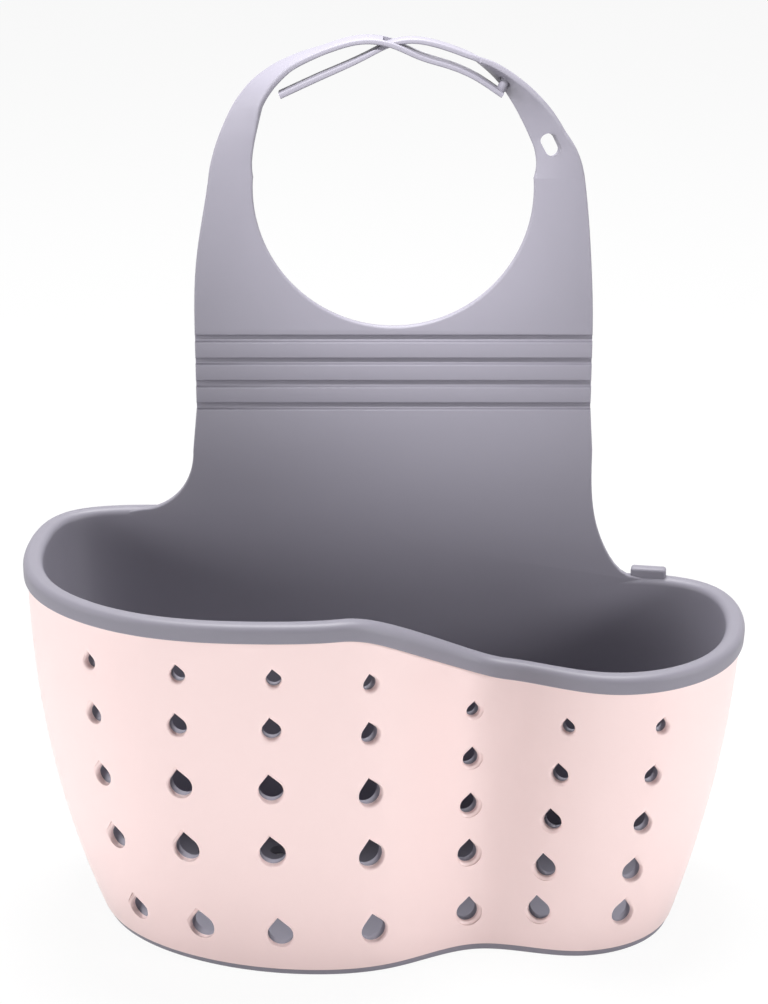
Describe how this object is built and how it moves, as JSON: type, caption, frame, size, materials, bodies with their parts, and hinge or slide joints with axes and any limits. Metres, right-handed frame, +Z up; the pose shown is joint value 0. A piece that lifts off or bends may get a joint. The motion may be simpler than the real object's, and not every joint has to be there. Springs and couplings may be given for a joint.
{
  "type": "kitchen sink caddy",
  "caption": "Kitchen sink caddy: a drained two-layer tub with a stepped rim on a grooved back panel with a strapped faucet loop.",
  "frame": {"origin": "middle of the tub's foot, on the flat face that it stands on", "axes": "+Z up, +X to the right seen from the front, the front of the tub towards -Y, the back panel at +Y"},
  "size_m": [0.1882, 0.0885, 0.2243],
  "materials": {
    "shell_pink": "satin",
    "rubber_grey": "matte"
  },
  "bodies": {
    "tub": {"outer_shell": "shell_pink", "tub_liner": "rubber_grey", "rim_tab": "rubber_grey", "groove_web_1": "rubber_grey"},
    "strip_1": {"flex_strip_1": "rubber_grey", "groove_web_2": "rubber_grey"},
    "strip_2": {"flex_strip_2": "rubber_grey", "groove_web_3": "rubber_grey"},
    "strip_3": {"flex_strip_3": "rubber_grey", "groove_web_4": "rubber_grey"},
    "loop": {"loop_panel": "rubber_grey", "left_strap": "rubber_grey", "right_strap": "rubber_grey", "left_tail_bend": "rubber_grey", "right_tail_bend": "rubber_grey"},
    "left_tail": {"left_tail": "rubber_grey", "tail_stud": "rubber_grey"},
    "right_tail": {"right_tail": "rubber_grey"}
  },
  "joints": [
    {"name": "groove_1_bend", "type": "hinge", "parent": "tub", "child": "strip_1", "pos_m": [0.0016, 0.0407, 0.1264], "axis": [1, 0, 0], "range_deg": [-22.5, 10], "deforming": ["groove_web_1"]},
    {"name": "groove_2_bend", "type": "hinge", "parent": "strip_1", "child": "strip_2", "pos_m": [0.0016, 0.0407, 0.1326], "axis": [1, 0, 0], "range_deg": [-22.5, 10], "deforming": ["groove_web_2"]},
    {"name": "groove_3_bend", "type": "hinge", "parent": "strip_2", "child": "strip_3", "pos_m": [0.0016, 0.0407, 0.1388], "axis": [1, 0, 0], "range_deg": [-22.5, 10], "deforming": ["groove_web_3"]},
    {"name": "groove_4_bend", "type": "hinge", "parent": "strip_3", "child": "loop", "pos_m": [0.0016, 0.0407, 0.145], "axis": [1, 0, 0], "range_deg": [-22.5, 10], "deforming": ["groove_web_4"]},
    {"name": "left_tail_unbutton", "type": "hinge", "parent": "loop", "child": "left_tail", "pos_m": [0.0056, 0.04, 0.2205], "axis": [0, 1, 0], "range_deg": [0, 45], "deforming": ["left_tail_bend"]},
    {"name": "right_tail_swing", "type": "hinge", "parent": "loop", "child": "right_tail", "pos_m": [-0.0034, 0.04, 0.2205], "axis": [0, -1, 0], "range_deg": [-3, 45], "deforming": ["right_tail_bend"]}
  ],
  "couplings": [
    {"joint": "groove_2_bend", "follows": "groove_1_bend", "ratio": 1},
    {"joint": "groove_3_bend", "follows": "groove_1_bend", "ratio": 1},
    {"joint": "groove_4_bend", "follows": "groove_1_bend", "ratio": 1}
  ]
}
